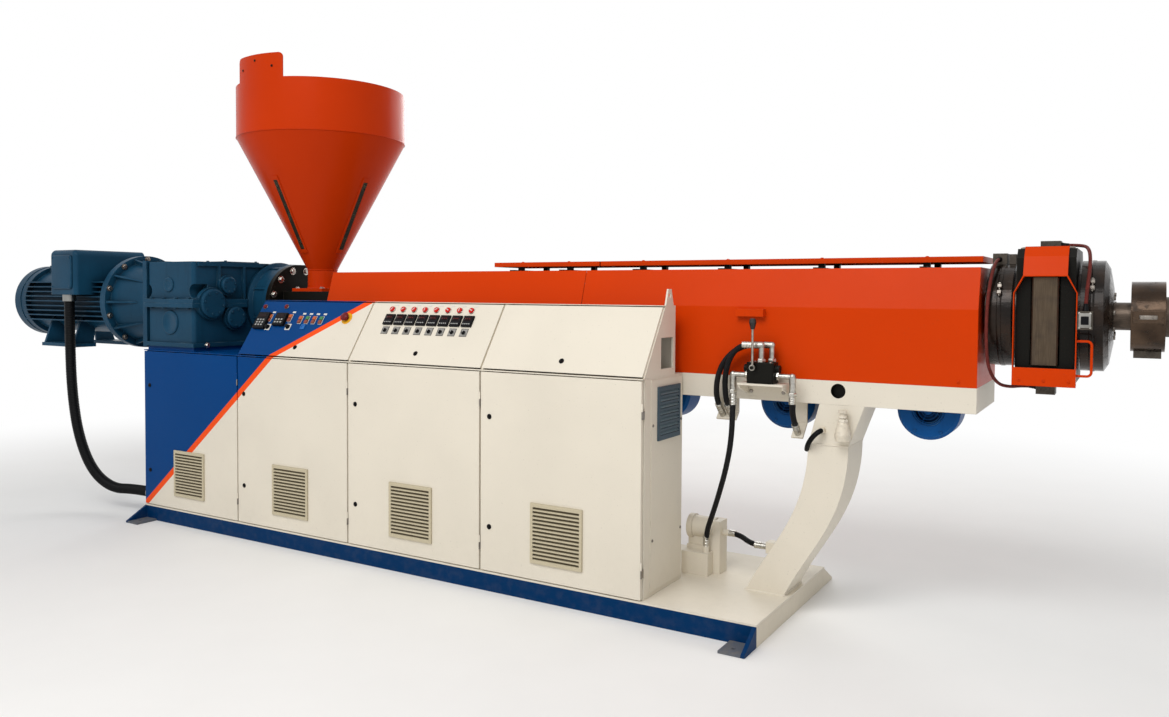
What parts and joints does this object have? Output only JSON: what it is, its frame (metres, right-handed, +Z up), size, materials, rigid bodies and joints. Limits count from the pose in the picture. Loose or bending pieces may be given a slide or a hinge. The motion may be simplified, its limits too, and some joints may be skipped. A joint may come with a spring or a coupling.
{
  "type": "plastic extruder",
  "caption": "Single-screw plastic extruder: geared motor drive, feed hopper, guarded heated barrel on a beam, screen changer and die neck, with a control cabinet and console along the front.",
  "frame": {"origin": "centre of the four floor anchor holes, on the floor under the base", "axes": "+X runs along the machine from the motor to the die, +Y from the control side to the rear, +Z up"},
  "size_m": [8.134, 1.707, 3.215],
  "materials": {
    "blue_paint": "satin blue enamel",
    "cream_paint": "satin cream enamel",
    "orange_paint": "gloss orange enamel",
    "petrol_paint": "hammered petrol blue machine paint",
    "grey_paint": "grey enamel",
    "black_paint": "gloss black heat-proof paint",
    "blower_paint": "bright blue enamel",
    "cast_metal": "bare machined casting",
    "steel": "machined steel",
    "bright_metal": "plated fittings",
    "heater_metal": "heat-tinted band",
    "rubber": "black hose rubber",
    "lead_braid": "red-brown braided sleeve",
    "beige_plastic": "moulded beige plastic",
    "dark_plastic": "moulded dark plastic",
    "sight_glass": "dark sight strip"
  },
  "bodies": {
    "machine": {"barrel": "heater_metal", "base_deck": "cream_paint", "base_frame": "blue_paint", "bearing_caps": "petrol_paint", "cabinet_back_wall": "cream_paint", "cabinet_top": "blue_paint", "cabinet_walls": "cream_paint", "changer_body": "steel", "changer_guard": "orange_paint", "console_panels": "cream_paint", "console_shell": "cream_paint", "cooling_blowers": "blower_paint", "die_neck": "steel", "door_hinges": "steel", "end_louvre": "dark_plastic", "end_panel": "cream_paint", "feed_section": "black_paint", "foot_plates": "grey_paint", "gearbox_lower": "petrol_paint", "gearbox_pedestal": "cream_paint", "gearbox_upper": "petrol_paint", "guard_covers": "orange_paint", "guard_sides": "orange_paint", "heater_boxes": "grey_paint", "heater_rings": "black_paint", "hopper_cone": "orange_paint", "hopper_drum": "orange_paint", "hopper_neck": "orange_paint", "left_lead": "lead_braid", "motor_conduit": "rubber", "motor_fan_cowl": "petrol_paint", "motor_frame": "petrol_paint", "motor_lantern": "petrol_paint", "motor_terminal_box": "petrol_paint", "panel_instruments": "dark_plastic", "pipe_fittings": "bright_metal", "port_hose": "rubber", "pressure_hose": "rubber", "pump_hose": "rubber", "pump_unit": "cast_metal", "return_hose": "rubber", "right_lead": "lead_braid", "roof_spacers": "black_paint", "side_hose": "rubber", "sight_windows": "sight_glass", "slide_cylinder": "steel", "support_beam": "cream_paint", "support_leg": "cream_paint", "thrust_housing": "petrol_paint", "valve_body": "cast_metal"},
    "cabinet_door_1": {"door_1": "blue_paint", "vent_grille_1": "beige_plastic"},
    "cabinet_door_2": {"door_2": "cream_paint", "vent_grille_2": "beige_plastic"},
    "cabinet_door_3": {"door_3": "cream_paint", "vent_grille_3": "beige_plastic"},
    "cabinet_door_4": {"door_4": "cream_paint", "vent_grille_4": "beige_plastic"},
    "control_lever": {"valve_lever": "bright_metal"},
    "screen_slide": {"slide_plate": "steel"}
  },
  "joints": [
    {"name": "door_1_hinge", "type": "hinge", "parent": "machine", "child": "cabinet_door_1", "pos_m": [-1.3, -0.538, 0.66], "axis": [0, 0, 1], "range_deg": [0, 90]},
    {"name": "door_2_hinge", "type": "hinge", "parent": "machine", "child": "cabinet_door_2", "pos_m": [-0.3, -0.538, 0.66], "axis": [0, 0, 1], "range_deg": [0, 90]},
    {"name": "door_3_hinge", "type": "hinge", "parent": "machine", "child": "cabinet_door_3", "pos_m": [0.7, -0.538, 0.66], "axis": [0, 0, 1], "range_deg": [0, 90]},
    {"name": "door_4_hinge", "type": "hinge", "parent": "machine", "child": "cabinet_door_4", "pos_m": [1.7, -0.538, 0.66], "axis": [0, 0, 1], "range_deg": [0, 90]},
    {"name": "lever_tilt", "type": "hinge", "parent": "machine", "child": "control_lever", "pos_m": [2.145, -0.219, 1.27], "axis": [0, 1, 0], "range_deg": [-15, 15], "stiffness_Nm_per_rad": 6},
    {"name": "screen_slide_travel", "type": "slide", "parent": "machine", "child": "screen_slide", "axis": [0, -1, 0], "range_m": [0, 0.24]}
  ]
}
